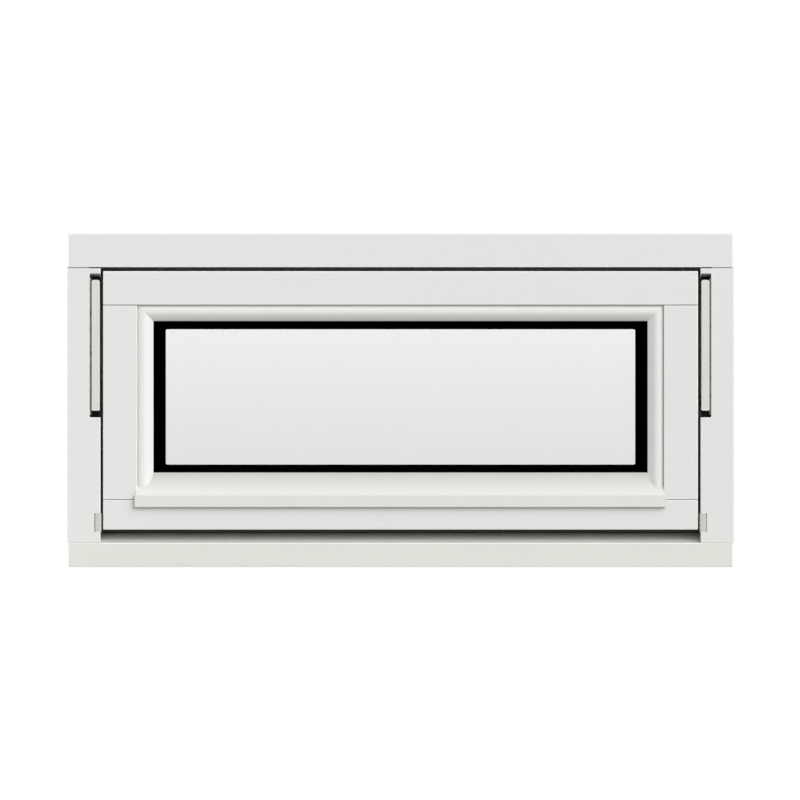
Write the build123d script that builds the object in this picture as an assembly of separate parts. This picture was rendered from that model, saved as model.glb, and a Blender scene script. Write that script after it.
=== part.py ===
from build123d import *
import math
import os

# A fully reversing pivot window of white-painted timber, seen from outside: +X is right, +Y is into
# the room and +Z is up. The origin is the middle of the sill's underside. All sizes are in millimetres.

# Frame
frame_width = 1000.0
frame_height = 500.0
frame_depth = 115.0
head_face = 50.0
jamb_face = 50.0
rail_end_relief = 1.8
stop_lap = 8.2
sill_nose_height = 36.25
sill_slope_angle = 14.0
arris = 1.5
head_arris = 0.8
joint_arris = 1.2
head_joint_gap = 1.8
sill_joint_gap = 0.5
sash_joint_gap = 1.2
open_joint_depth = 3.0
seal_kerf_width = 3.0
seal_kerf_depth = 6.0
seal_bulb_width = 6.2
seal_bulb_edge = 1.8
lining_groove_width = 12.0
lining_groove_depth = 10.0
lining_groove_inset = 14.0
drip_groove_width = 6.0
drip_groove_depth = 5.0
drip_groove_inset = 10.0

# Frame screws
frame_screw_hole_radius = 4.25
frame_screw_spacing = 300.0
frame_screw_behind_front = 55.0

# Sash
sash_set_back = 3.0
sash_depth = 60.0
seal_gap = 4.0
side_gap = 3.75
top_gap = 6.0
bottom_gap = 3.4
stile_face = 51.2
top_rail_face = 50.4
bottom_rail_face = 44.5
bottom_sight_height = 85.5
bottom_rebate_step = 19.0
inner_edge_radius = 4.0

# Sealed unit and its beads
pane_thickness = 4.0
cavity = 16.0
glass_set_back = 16.0
gasket_thickness = 3.0
gasket_width = 10.0
gasket_recess = 0.6
pane_edge_clearance = 4.6
edge_band_side = 18.6
edge_band_top = 12.3
edge_band_bottom = 12.0
edge_band_corner = 3.0
bead_width = 24.4
bead_joint_sink = 5.6
bead_crest_sink = 1.6
bead_crest_inset = 9.6
bead_crest_radius = 14.0
bead_quirk = 0.8
bead_tip = 1.8
bead_tip_radius = 0.9
nose_projection = 6.5
nose_height = 17.7
nose_bottom_drop = 10.8
nose_flare = 3.7
nose_edge = 0.8
nose_groove_width = 2.5
nose_groove_depth = 2.5
cove_hollow = 3.8

# Side hinges, in slots routed into the jambs
slot_depth = 16.3
slot_reach = 38.0
slot_below_head = 8.6
slot_corner = 3.0
slot_top_drop = 6.0
slot_top_reach = 11.5
slot_foot_ramp = 0.4
hinge_plate_thickness = 2.4
hinge_plate_margin = 1.2
hinge_plate_width = 22.0
hinge_plate_set_back = 12.0
arm_width = 12.7
arm_thickness = 24.0
arm_length = 196.2
arm_set_back = 2.0
arm_top_corner = 3.5
arm_foot_chamfer = 1.6
arm_end_clearance = 10.45
arm_clearance = 0.1
pivot_inset = 15.4
pivot_set_back = 18.0
pivot_radius = 4.0
pivot_fit = 0.05
sash_plate_thickness = 2.5
sash_plate_width = 20.0
sash_plate_length = 120.0

# Closing guide blocks at the foot of the jambs
block_below_sash = 3.6
block_height = 28.0
block_let_in = 9.9
block_proud = 1.3
block_lead_in = 1.3
block_depth = 22.0
block_set_back = 0.4
block_bevel = 3.2

# Handle, on the room side of the bottom rail
rose_length = 66.0
rose_width = 30.0
rose_thickness = 11.0
rose_edge = 2.0
handle_projection = 46.0
handle_length = 118.0
grip_height = 19.0
grip_thickness = 12.0
grip_bend = 16.0
grip_corner = 4.0
grip_end_chamfer = 1.5

# How far a cutting tool passes the faces that it cuts through
cut_past = 1.0

# Places worked out from the sizes above
frame_front = -frame_depth / 2
frame_back = frame_depth / 2
sash_front = frame_front + sash_set_back
sash_back = sash_front + sash_depth
stop_plane = sash_back + seal_gap
jamb_out = frame_width / 2
jamb_in = jamb_out - jamb_face
head_under = frame_height - head_face
sill_top_at_stop = sill_nose_height + math.tan(math.radians(sill_slope_angle)) * (stop_plane - frame_front)

sash_half = jamb_in - side_gap
sash_top = head_under - top_gap
sash_bottom = sill_top_at_stop + bottom_gap
stop_in = sash_half - stop_lap
stop_under = sash_top - stop_lap
stop_over = sash_bottom + stop_lap
seal_half = sash_half - stop_lap / 2
seal_top_z = sash_top - stop_lap / 2
seal_bottom_z = sash_bottom + stop_lap / 2

glass_front = sash_front + glass_set_back
cavity_front = glass_front + pane_thickness
cavity_back = cavity_front + cavity
glass_back = cavity_back + pane_thickness
lip_front = glass_back + gasket_thickness
bead_back = glass_front - gasket_thickness
rebate_half = sash_half - stile_face
rebate_top = sash_top - top_rail_face
rebate_bottom = sash_bottom + bottom_rail_face
glass_floor = rebate_bottom + bottom_rebate_step
sight_half = rebate_half - bead_width
sight_top = rebate_top - bead_width
sight_bottom = sash_bottom + bottom_sight_height
pane_half = rebate_half - pane_edge_clearance
pane_top = rebate_top - pane_edge_clearance
pane_bottom = glass_floor + pane_edge_clearance

slot_floor = jamb_in + slot_depth
slot_top = head_under - slot_below_head
slot_bottom = slot_top - arm_length - 2 * arm_end_clearance
arm_out = slot_floor - hinge_plate_thickness - arm_clearance
arm_in = arm_out - arm_width
arm_front = frame_front + arm_set_back
arm_bottom = slot_bottom + arm_end_clearance
arm_top = arm_bottom + arm_length
pivot_y = frame_front + pivot_set_back
frame_pivot_z = arm_top - pivot_inset
sash_pivot_z = arm_bottom + pivot_inset
sash_plate_in = sash_half - sash_plate_thickness
block_bottom = sash_bottom - block_below_sash
handle_z = (stop_over + sight_bottom) / 2


def section(points, rounds=()):
    """Closed profile through the points; each (corner, radius) in rounds eases that corner."""
    face = make_face(Polyline(*points, close=True))
    for corner, radius in rounds:
        vertex = face.vertices().sort_by_distance((corner[0], corner[1], 0))[0]
        face = fillet(vertex, radius)
    return face


def rectangle(low, high):
    """Rectangular profile between two opposite corners."""
    return section([low, (high[0], low[1]), high, (low[0], high[1])])


def along_x(profile, half_length):
    """Bar of a profile drawn in Y and Z, centred on the window's middle."""
    return extrude(Plane.YZ * profile, amount=half_length, dir=(1, 0, 0), both=True)


def along_z(profile, low, high):
    """Bar of a profile drawn in X and Y, standing between two heights."""
    return extrude(Pos(0, 0, low) * profile, amount=high - low, dir=(0, 0, 1))


def along_y(profile, front, back):
    """Block of an outline drawn in X and Z, between two depths."""
    return extrude(Plane.XZ.offset(-front) * profile, amount=back - front, dir=(0, 1, 0))


def block(low, high):
    """Rectangular block between two opposite corners."""
    return along_z(rectangle(low[:2], high[:2]), low[2], high[2])


def rod(radius, start, end, y, z):
    """Round bar along X."""
    return Plane.YZ.offset(start) * Pos(y, z, (end - start) / 2) * Cylinder(radius, end - start)


def mirrored(piece):
    """The same piece for the other side of the window."""
    return mirror(piece, about=Plane.YZ)


def head_outline(rounds=()):
    points = [
        (frame_front, frame_height),
        (frame_front, head_under),
        (stop_plane, head_under),
        (stop_plane, stop_under),
        (frame_back, stop_under),
        (frame_back, frame_height),
    ]
    return section(points, rounds)


def frame_head():
    """Head: full width, with the stop, the seal's kerf and the groove for the wall lining."""
    rounds = [((frame_front, head_under), head_arris), ((frame_back, stop_under), arris)]
    profile = head_outline(rounds)
    kerf_low = seal_top_z - seal_kerf_width / 2
    profile -= rectangle((stop_plane, kerf_low), (stop_plane + seal_kerf_depth, kerf_low + seal_kerf_width))
    groove_low = stop_under + lining_groove_inset
    groove_front = frame_back - lining_groove_depth
    profile -= rectangle((groove_front, groove_low), (frame_back, groove_low + lining_groove_width))
    return along_x(profile, jamb_out - rail_end_relief)


def sill_outline(rounds=()):
    points = [
        (frame_front, 0),
        (frame_front, sill_nose_height),
        (stop_plane, sill_top_at_stop),
        (stop_plane, stop_over),
        (frame_back, stop_over),
        (frame_back, 0),
    ]
    return section(points, rounds)


def frame_sill():
    """Sill: weathered top, stop, seal kerf, drip groove and lining groove."""
    rounds = [
        ((frame_front, sill_nose_height), arris),
        ((stop_plane, stop_over), arris),
        ((frame_back, stop_over), arris),
    ]
    profile = sill_outline(rounds)
    kerf_low = seal_bottom_z - seal_kerf_width / 2
    profile -= rectangle((stop_plane, kerf_low), (stop_plane + seal_kerf_depth, kerf_low + seal_kerf_width))
    groove_top = stop_over - lining_groove_inset
    groove_front = frame_back - lining_groove_depth
    profile -= rectangle((groove_front, groove_top - lining_groove_width), (frame_back, groove_top))
    drip_front = frame_front + drip_groove_inset
    profile -= rectangle((drip_front, 0), (drip_front + drip_groove_width, drip_groove_depth))
    return along_x(profile, jamb_out - rail_end_relief)


def open_joint(front, height, gap):
    """Shadow gap along a shoulder line, cut from the end of the upright piece."""
    return along_x(rectangle((front, height - gap), (front + open_joint_depth, height + gap)), frame_width)


def hinge_slot():
    """Space routed into the right jamb for the arm, open in front, with a rounded lead-in at its top."""
    open_side = jamb_in - side_gap
    points = [
        (open_side, slot_bottom),
        (slot_floor, slot_bottom),
        (slot_floor, slot_top),
        (open_side, slot_top),
    ]
    outline = section(points, [(points[1], slot_corner), (points[2], slot_corner)])
    slot = along_y(outline, frame_front, frame_front + slot_reach)
    lead_in_end = (frame_front + slot_top_reach, slot_top - slot_top_drop)
    foot = slot_bottom + slot_foot_ramp
    side = [
        TangentArc(lead_in_end, (frame_front, slot_top), tangent=(-1, 0)),
        Line((frame_front, slot_top), (frame_front, slot_bottom)),
        Line((frame_front, slot_bottom), (frame_front + slot_foot_ramp, foot)),
        Line((frame_front + slot_foot_ramp, foot), (frame_back, foot)),
        Line((frame_back, foot), (frame_back, lead_in_end[1])),
        Line((frame_back, lead_in_end[1]), lead_in_end),
    ]
    return slot & along_x(make_face(Curve() + side), frame_width)


def frame_jamb():
    """Right jamb: stands between head and sill, with the hinge slot and the closing block's notch."""
    points = [
        (jamb_out, frame_front),
        (jamb_in, frame_front),
        (jamb_in, stop_plane),
        (stop_in, stop_plane),
        (stop_in, frame_back),
        (jamb_out, frame_back),
    ]
    profile = section(points, [((jamb_in, frame_front), arris), ((stop_in, frame_back), arris)])
    kerf_low = seal_half - seal_kerf_width / 2
    profile -= rectangle((kerf_low, stop_plane), (kerf_low + seal_kerf_width, stop_plane + seal_kerf_depth))
    groove_low = stop_in + lining_groove_inset
    groove_front = frame_back - lining_groove_depth
    profile -= rectangle((groove_low, groove_front), (groove_low + lining_groove_width, frame_back))
    jamb = along_z(profile, 0, frame_height)
    jamb -= along_x(head_outline(), frame_width)
    jamb -= along_x(sill_outline(), frame_width)
    jamb -= open_joint(frame_front, head_under, head_joint_gap)
    jamb -= open_joint(frame_front, sill_nose_height, sill_joint_gap)
    jamb -= hinge_slot()
    notch_low = (jamb_in - cut_past, frame_front - cut_past, block_bottom)
    notch_back = frame_front + block_set_back + block_depth
    notch_high = (jamb_in + block_let_in, notch_back, block_bottom + block_height)
    jamb -= block(notch_low, notch_high)
    for side in (-1, 1):
        hole_z = frame_height / 2 + side * frame_screw_spacing / 2
        hole_y = frame_front + frame_screw_behind_front
        jamb -= rod(frame_screw_hole_radius, jamb_in - cut_past, jamb_out + cut_past, hole_y, hole_z)
    return jamb


def with_end_arrises(rail):
    """Eases the front arrises at both ends of a sash rail."""
    return fillet(rail.edges().filter_by(Axis.Z).group_by(Axis.Y)[0], arris)


def top_rail_outline(rounds=()):
    points = [
        (sash_front, sash_top),
        (sash_front, rebate_top),
        (lip_front, rebate_top),
        (lip_front, sight_top),
        (sash_back, sight_top),
        (sash_back, sash_top),
    ]
    return section(points, rounds)


def sash_top_rail():
    """Top rail: full width of the sash, rebated for the glass from outside."""
    rounds = [
        ((sash_front, sash_top), arris),
        ((sash_front, rebate_top), joint_arris),
        ((sash_back, sight_top), inner_edge_radius),
    ]
    return with_end_arrises(along_x(top_rail_outline(rounds), sash_half))


def bottom_rail_outline(rounds=()):
    points = [
        (sash_front, sash_bottom),
        (sash_front, rebate_bottom),
        (bead_back, rebate_bottom),
        (bead_back, glass_floor),
        (lip_front, glass_floor),
        (lip_front, sight_bottom),
        (sash_back, sight_bottom),
        (sash_back, sash_bottom),
    ]
    return section(points, rounds)


def sash_bottom_rail():
    """Bottom rail: stepped rebate, so that the drip bead seats below the glass, and a drip groove."""
    rounds = [
        ((sash_front, sash_bottom), arris),
        ((sash_front, rebate_bottom), joint_arris),
        ((sash_back, sight_bottom), inner_edge_radius),
    ]
    profile = bottom_rail_outline(rounds)
    drip_front = sash_front + drip_groove_inset
    drip_top = sash_bottom + drip_groove_depth
    profile -= rectangle((drip_front, sash_bottom), (drip_front + drip_groove_width, drip_top))
    return with_end_arrises(along_x(profile, sash_half))


def sash_stile():
    """Right stile: its shoulders fit the rails' sections, and its edge is let in for the hinge plate."""
    points = [
        (sash_half, sash_front),
        (rebate_half, sash_front),
        (rebate_half, lip_front),
        (sight_half, lip_front),
        (sight_half, sash_back),
        (sash_half, sash_back),
    ]
    rounds = [(points[0], arris), (points[1], joint_arris), (points[4], inner_edge_radius)]
    stile = along_z(section(points, rounds), sash_bottom, sash_top)
    stile -= along_x(top_rail_outline(), frame_width)
    stile -= along_x(bottom_rail_outline(), frame_width)
    for height in (rebate_top, rebate_bottom):
        stile -= open_joint(sash_front, height, sash_joint_gap)
    stile -= block(*sash_plate_box())
    return stile


def bead_profile():
    """Glazing bead across the right stile: it rises from the joint to a crest, then bevels to the glass."""
    points = [
        (rebate_half, bead_back),
        (rebate_half, sash_front + bead_joint_sink),
        (rebate_half - bead_crest_inset, sash_front + bead_crest_sink),
        (sight_half, bead_back - bead_tip),
        (sight_half, bead_back),
    ]
    rounds = [(points[1], bead_quirk), (points[2], bead_crest_radius), (points[3], bead_tip_radius)]
    return section(points, rounds)


def drip_bead_profile(grooved=True):
    """Bottom bead across the rail: a cove from the glass out to the nose, which hangs over the rail."""
    nose_front = sash_front - nose_projection
    nose_bottom = rebate_bottom - nose_bottom_drop
    nose_top = nose_bottom + nose_height
    tip = bead_back - bead_tip
    outline = [
        Line((bead_back, rebate_bottom), (bead_back, sight_bottom)),
        Line((bead_back, sight_bottom), (tip, sight_bottom)),
        SagittaArc((tip, sight_bottom), (nose_front, nose_top), cove_hollow),
        Line((nose_front, nose_top), (nose_front, nose_bottom)),
        Line((nose_front, nose_bottom), (sash_front, nose_bottom)),
        Line((sash_front, nose_bottom), (sash_front, rebate_bottom)),
        Line((sash_front, rebate_bottom), (bead_back, rebate_bottom)),
    ]
    profile = make_face(Curve() + outline)
    if not grooved:
        return profile
    for height in (nose_top, nose_bottom):
        corner = profile.vertices().sort_by_distance((nose_front, height, 0))[0]
        profile = fillet(corner, nose_edge)
    groove_front = (nose_front + sash_front - nose_groove_width) / 2
    groove_high = (groove_front + nose_groove_width, nose_bottom + nose_groove_depth)
    return profile - rectangle((groove_front, nose_bottom), groove_high)


def bead_bottom():
    """Drip bead: its nose runs a little past the rebate, with ends that flare outwards."""
    nose_front = sash_front - nose_projection
    plan = [
        (-rebate_half, bead_back),
        (-rebate_half, sash_front),
        (-rebate_half - nose_flare, nose_front),
        (rebate_half + nose_flare, nose_front),
        (rebate_half, sash_front),
        (rebate_half, bead_back),
    ]
    return along_x(drip_bead_profile(), sash_half) & along_z(section(plan), 0, frame_height)


def mitre_prism():
    """Everything on the top bead's side of the two mitres at the upper corners of the rebate."""
    reach = bead_width * 2
    points = [
        (-rebate_half - reach, rebate_top + reach),
        (-rebate_half + reach, rebate_top - reach),
        (rebate_half - reach, rebate_top - reach),
        (rebate_half + reach, rebate_top + reach),
    ]
    return along_y(section(points), frame_front - frame_depth, frame_back)


def bead_top():
    """Top bead: the side beads' profile turned, mitred at both corners."""
    turned = Pos(0, 0, rebate_top) * Rot(0, -90, 0) * Pos(-rebate_half, 0, 0) * bead_profile()
    bar = extrude(turned, amount=rebate_half, dir=(1, 0, 0), both=True)
    return bar & mitre_prism()


def bead_side():
    """Right bead: mitred under the top bead and scribed onto the cove of the drip bead."""
    bead = along_z(bead_profile(), rebate_bottom, rebate_top)
    bead -= mitre_prism()
    bead -= along_x(drip_bead_profile(grooved=False), frame_width)
    return bead


def pane(front):
    """One sheet of glass."""
    return block((-pane_half, front, pane_bottom), (pane_half, front + pane_thickness, pane_top))


def spacers():
    """Edge seal of the sealed unit: four black bars cut from a ring with rounded inner corners."""
    inner_half = sight_half - edge_band_side
    inner_top = sight_top - edge_band_top
    inner_bottom = sight_bottom + edge_band_bottom
    corners = [
        (-inner_half, inner_bottom),
        (inner_half, inner_bottom),
        (inner_half, inner_top),
        (-inner_half, inner_top),
    ]
    opening = section(corners, [(corner, edge_band_corner) for corner in corners])
    ring = rectangle((-pane_half, pane_bottom), (pane_half, pane_top)) - opening
    ring = along_y(ring, cavity_front, cavity_back)
    high_cut = inner_top - edge_band_corner
    low_cut = inner_bottom + edge_band_corner
    below = block((-pane_half, cavity_front, pane_bottom), (pane_half, cavity_back, high_cut))
    above = block((-pane_half, cavity_front, low_cut), (pane_half, cavity_back, pane_top))
    side = block((inner_half, cavity_front, low_cut), (pane_half, cavity_back, high_cut))
    return {
        "spacer_top": ring - below,
        "spacer_bottom": ring - above,
        "spacer_left": mirrored(side),
        "spacer_right": side,
    }


def gasket_ring(name, front):
    """Four rubber strips on one face of the sealed unit, a little back from the sight line."""
    back = front + gasket_thickness
    half = sight_half + gasket_recess
    top = sight_top + gasket_recess
    bottom = sight_bottom - gasket_recess
    outer_half = half + gasket_width
    side = block((half, front, bottom), (outer_half, back, top))
    return {
        name + "_top": block((-outer_half, front, top), (outer_half, back, top + gasket_width)),
        name + "_bottom": block((-outer_half, front, bottom - gasket_width), (outer_half, back, bottom)),
        name + "_left": mirrored(side),
        name + "_right": side,
    }


def seal_profile(across):
    """Weather seal in plan: a bulb between stop and sash, and a stem in the kerf."""
    bulb_half = seal_bulb_width / 2
    points = [
        (across - bulb_half, stop_plane),
        (across - bulb_half, sash_back),
        (across + bulb_half, sash_back),
        (across + bulb_half, stop_plane),
    ]
    return section(points, [(points[1], seal_bulb_edge), (points[2], seal_bulb_edge)])


def seal_stem(across):
    half = seal_kerf_width / 2
    return rectangle((across - half, stop_plane), (across + half, stop_plane + seal_kerf_depth))


def seal_side():
    """Right weather seal: butts the top and bottom seals."""
    bulb_half = seal_bulb_width / 2
    bulb = along_z(seal_profile(seal_half), seal_bottom_z + bulb_half, seal_top_z - bulb_half)
    return bulb + along_z(seal_stem(seal_half), stop_over, stop_under)


def seal_across(height):
    """Weather seal along the head or the sill."""
    bulb_half = seal_bulb_width / 2
    profile = seal_profile(0) + seal_stem(0)
    turned = Pos(0, 0, height) * Rot(0, -90, 0) * profile
    return extrude(turned, amount=seal_half + bulb_half, dir=(1, 0, 0), both=True)


def hinge_plate():
    """Right fixing plate on the floor of the slot, bored for the frame pivot."""
    low = slot_bottom + slot_corner + hinge_plate_margin
    high = slot_top - slot_top_drop - hinge_plate_margin
    front = frame_front + hinge_plate_set_back
    inner = slot_floor - hinge_plate_thickness
    plate = block((inner, front, low), (slot_floor, front + hinge_plate_width, high))
    bore_end = slot_floor + cut_past
    return plate - rod(pivot_radius + pivot_fit, inner - cut_past, bore_end, pivot_y, frame_pivot_z)


def hinge_arm():
    """Right arm: a bar with a rounded top end and a chamfered foot, bored for both pivots."""
    points = [(arm_in, arm_bottom), (arm_out, arm_bottom), (arm_out, arm_top), (arm_in, arm_top)]
    outline = section(points, [(points[2], arm_top_corner), (points[3], arm_top_corner)])
    foot = [outline.vertices().sort_by_distance((x, z, 0))[0] for x, z in points[:2]]
    outline = chamfer(foot, arm_foot_chamfer)
    arm = along_y(outline, arm_front, arm_front + arm_thickness)
    arm = fillet(arm.edges().filter_by(Axis.Z).group_by(Axis.Y)[0], arris)
    for pivot_z in (frame_pivot_z, sash_pivot_z):
        arm -= rod(pivot_radius + pivot_fit, arm_in - cut_past, arm_out + cut_past, pivot_y, pivot_z)
    return arm


def sash_plate_box():
    low_z = sash_pivot_z - sash_plate_length / 2
    front = pivot_y - sash_plate_width / 2
    return (
        (sash_plate_in, front, low_z),
        (sash_half, front + sash_plate_width, low_z + sash_plate_length),
    )


def hinge_sash_plate():
    """Right plate let into the stile's edge, bored for the sash pivot."""
    plate = block(*sash_plate_box())
    bore_start = sash_plate_in - cut_past
    return plate - rod(pivot_radius + pivot_fit, bore_start, sash_half + cut_past, pivot_y, sash_pivot_z)


def frame_pivot():
    """Right pin that hangs the arm from the slot's plate."""
    return rod(pivot_radius, arm_in, slot_floor, pivot_y, frame_pivot_z)


def sash_pivot():
    """Right pin that carries the sash at mid-height."""
    return rod(pivot_radius, sash_plate_in, arm_out, pivot_y, sash_pivot_z)


def closing_block():
    """Right guide block: bevelled towards the jamb, eased where the sash runs in."""
    front = frame_front + block_set_back
    back = front + block_depth
    outer = jamb_in + block_let_in
    inner = jamb_in - block_proud
    points = [
        (inner, back),
        (inner, front + block_lead_in),
        (inner + block_lead_in, front),
        (outer - block_bevel, front),
        (outer, front + block_bevel / 2),
        (outer, back),
    ]
    return along_z(section(points), block_bottom, block_bottom + block_height)


def handle_rose():
    """Rose plate on the bottom rail, with rounded ends."""
    outline = Pos(0, handle_z) * SlotOverall(rose_length, rose_width)
    rose = along_y(outline, sash_back, sash_back + rose_thickness)
    return chamfer(rose.faces().sort_by(Axis.Y)[-1].edges(), rose_edge)


def handle_grip():
    """Lever: a flattened bar with round corners, swept from the rose round a bend and along the rail."""
    seat = sash_back + rose_thickness
    reach = sash_back + handle_projection
    path = FilletPolyline(
        (0, seat, handle_z),
        (0, reach, handle_z),
        (handle_length, reach, handle_z),
        radius=grip_bend,
    )
    start = Plane(origin=(0, seat, handle_z), x_dir=(1, 0, 0), z_dir=(0, 1, 0))
    profile = start * RectangleRounded(grip_thickness, grip_height, grip_corner)
    grip = sweep(profile, path=path)
    return chamfer(grip.faces().sort_by(Axis.X)[-1].edges(), grip_end_chamfer)


def build():
    """Every node of the window by name."""
    pieces = {
        "frame_head": frame_head(),
        "frame_sill": frame_sill(),
        "sash_top_rail": sash_top_rail(),
        "sash_bottom_rail": sash_bottom_rail(),
        "bead_top": bead_top(),
        "bead_bottom": bead_bottom(),
        "pane_outer": pane(glass_front),
        "pane_inner": pane(cavity_back),
        "seal_top": seal_across(seal_top_z),
        "seal_bottom": seal_across(seal_bottom_z),
        "handle_rose": handle_rose(),
        "handle_grip": handle_grip(),
    }
    pairs = {
        "frame_jamb": frame_jamb(),
        "sash_stile": sash_stile(),
        "bead": bead_side(),
        "seal": seal_side(),
        "hinge_plate": hinge_plate(),
        "hinge_arm": hinge_arm(),
        "hinge_sash_plate": hinge_sash_plate(),
        "frame_pivot": frame_pivot(),
        "sash_pivot": sash_pivot(),
        "closing_block": closing_block(),
    }
    for name, right in pairs.items():
        pieces[name + "_right"] = right
        pieces[name + "_left"] = mirrored(right)
    pieces.update(spacers())
    pieces.update(gasket_ring("outer_gasket", bead_back))
    pieces.update(gasket_ring("inner_gasket", glass_back))
    return pieces


os.makedirs("parts", exist_ok=True)
for node, piece in build().items():
    export_step(piece, "parts/" + node + ".step")
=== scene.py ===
# %% [markdown]
# # Dressing a pivot window
# The window is white-painted timber, seen straight on from outside. Its timber, glass and hinges are
# already there as solids at their real size. This lesson adds what a solid can't say by itself: how
# paint lies on wood, how glass shows what is behind it, and the small parts that repeat, such as
# screws. Everything is in metres: +X is right, +Y is into the room and +Z is up.

# %% Load the solids
import math

import bpy
from mathutils import Matrix, Vector


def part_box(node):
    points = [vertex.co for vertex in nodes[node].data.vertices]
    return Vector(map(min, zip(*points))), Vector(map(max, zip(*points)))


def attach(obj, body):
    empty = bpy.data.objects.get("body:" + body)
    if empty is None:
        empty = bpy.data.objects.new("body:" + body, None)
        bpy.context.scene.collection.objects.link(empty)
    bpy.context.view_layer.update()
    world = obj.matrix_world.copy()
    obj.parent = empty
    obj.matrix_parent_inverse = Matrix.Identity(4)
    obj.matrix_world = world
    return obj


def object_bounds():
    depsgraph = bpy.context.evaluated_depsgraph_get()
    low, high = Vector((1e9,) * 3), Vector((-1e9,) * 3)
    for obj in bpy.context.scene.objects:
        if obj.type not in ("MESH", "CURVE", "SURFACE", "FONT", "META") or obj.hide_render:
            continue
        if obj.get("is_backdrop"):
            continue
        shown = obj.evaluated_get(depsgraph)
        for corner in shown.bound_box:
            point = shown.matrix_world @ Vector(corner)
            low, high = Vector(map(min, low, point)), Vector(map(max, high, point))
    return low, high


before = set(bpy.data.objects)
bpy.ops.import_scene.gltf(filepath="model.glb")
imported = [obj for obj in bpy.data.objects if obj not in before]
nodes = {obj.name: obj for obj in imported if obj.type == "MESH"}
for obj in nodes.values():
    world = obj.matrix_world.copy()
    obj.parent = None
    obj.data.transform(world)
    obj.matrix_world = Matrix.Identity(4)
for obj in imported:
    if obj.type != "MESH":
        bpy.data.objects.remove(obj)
solid_low, solid_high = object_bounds()
mm = 0.001
print("solids:", len(nodes), "box in mm:", [round(v / mm, 1) for v in (*solid_low, *solid_high)])

# %% [markdown]
# ## The places that later steps need
# A piece that is made here sits on a solid, so its place is read from that solid's box and never
# typed in. `low` and `high` give one side of a box by the axis's letter, which reads like the sentence
# "the low Z of the sill".


# %% Read places from the solids
def low(node, axis):
    """Lowest coordinate of a solid along x, y or z."""
    return getattr(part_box(node)[0], axis)


def high(node, axis):
    """Highest coordinate of a solid along x, y or z."""
    return getattr(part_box(node)[1], axis)


def middle(node, axis):
    """Halfway between a solid's two sides along x, y or z."""
    return (low(node, axis) + high(node, axis)) / 2


def nearest_x(node):
    """Distance from the window's middle plane to the near face of a side piece."""
    return min(abs(low(node, "x")), abs(high(node, "x")))


def furthest_x(node):
    """Distance from the window's middle plane to the far face of a side piece."""
    return max(abs(low(node, "x")), abs(high(node, "x")))


frame_front = low("frame_head", "y")
sash_back = high("sash_bottom_rail", "y")
glass_front = low("pane_outer", "y")
glass_back = high("pane_inner", "y")
sight_left = high("bead_left", "x")
sight_right = low("bead_right", "x")
sight_bottom = high("bead_bottom", "z")
sight_top = low("bead_top", "z")
window_middle = Vector((0, 0, (low("frame_sill", "z") + high("frame_head", "z")) / 2))
print("glass seen between beads, mm:", round((sight_right - sight_left) / mm, 1))
print("by", round((sight_top - sight_bottom) / mm, 1))

# %% [markdown]
# ## The camera
# The photograph is an elevation: no line runs to a vanishing point. A perspective camera far away
# would come close, but an orthographic one is exactly that, and its scale is the width of the picture
# in metres. Each pixel covers 1.5 mm of the window. The window stands half a pixel right of the
# picture's middle and half a pixel below it.

# %% Make the camera
picture_pixels = 800
pixel = 1.5 * mm
offset_pixels = 0.5
camera_distance = 3.0

camera_data = bpy.data.cameras.new("elevation")
camera_data.type = "ORTHO"
camera_data.ortho_scale = picture_pixels * pixel
camera = bpy.data.objects.new("elevation", camera_data)
offset = offset_pixels * pixel
camera.location = window_middle + Vector((-offset, -camera_distance, offset))
camera.rotation_euler = (math.radians(90), 0, 0)
bpy.context.scene.collection.objects.link(camera)
bpy.context.scene.camera = camera
bpy.context.scene.view_settings.view_transform = "Standard"
print("camera covers", round(camera_data.ortho_scale, 3), "m")

# %% [markdown]
# ## Writing node trees as expressions
# A shader is a graph, and building one node by node hides the sum that it stands for. The class below
# wraps one output socket. Arithmetic on it adds a Math node, so `1 - dust * 0.2` builds the same graph
# as two nodes placed by hand. `add` makes every other node: its type, then its settings, then what
# goes into its sockets. The same class serves Geometry Nodes later, because both kinds of tree have
# nodes, sockets and links.


# %% Wrap a socket
class Wire:
    """One output socket in a node tree. Arithmetic on it adds Math nodes."""

    def __init__(self, tree, socket=None):
        self.tree = tree
        self.socket = socket

    def add(self, kind, settings=None, inputs=None, output=0):
        """Adds a node and returns one of its outputs."""
        node = self.tree.nodes.new(kind)
        for name, value in (settings or {}).items():
            setattr(node, name, value)
        for name, value in (inputs or {}).items():
            self.feed(node.inputs[name], value)
        return Wire(self.tree, node.outputs[output]) if node.outputs else node

    def feed(self, socket, value):
        """Links a wire into a socket, or sets the socket's own value."""
        if isinstance(value, Wire):
            self.tree.links.new(value.socket, socket)
        elif isinstance(value, (list, tuple)) and isinstance(value[0], Wire):
            for wire in value:
                self.tree.links.new(wire.socket, socket)
        else:
            socket.default_value = value

    def pick(self, name):
        """Another output of the same node."""
        return Wire(self.tree, self.socket.node.outputs[name])

    def math(self, operation, *values):
        """Adds a Math node on wires or numbers."""
        return self.add("ShaderNodeMath", {"operation": operation}, dict(enumerate(values)))

    def __add__(self, other):
        return self.math("ADD", self, other)

    __radd__ = __add__

    def __sub__(self, other):
        return self.math("SUBTRACT", self, other)

    def __rsub__(self, other):
        return self.math("SUBTRACT", other, self)

    def __mul__(self, other):
        return self.math("MULTIPLY", self, other)

    __rmul__ = __mul__

    def __truediv__(self, other):
        return self.math("DIVIDE", self, other)

    def __gt__(self, other):
        return self.math("GREATER_THAN", self, other)


print("signs that add a Math node: + - * / >")

# %% [markdown]
# ## A white room
# The photograph's background is plain white. Turning the lamps up until the backdrop burns out would
# bleach the window as well, so the white is given only to rays that look at the world: camera rays,
# and the glossy and transmitted rays that glass and metal send on. Diffuse rays meet a dimmer world,
# which is the soft light of the room.

# %% Light the world
room_light = 0.48


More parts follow.
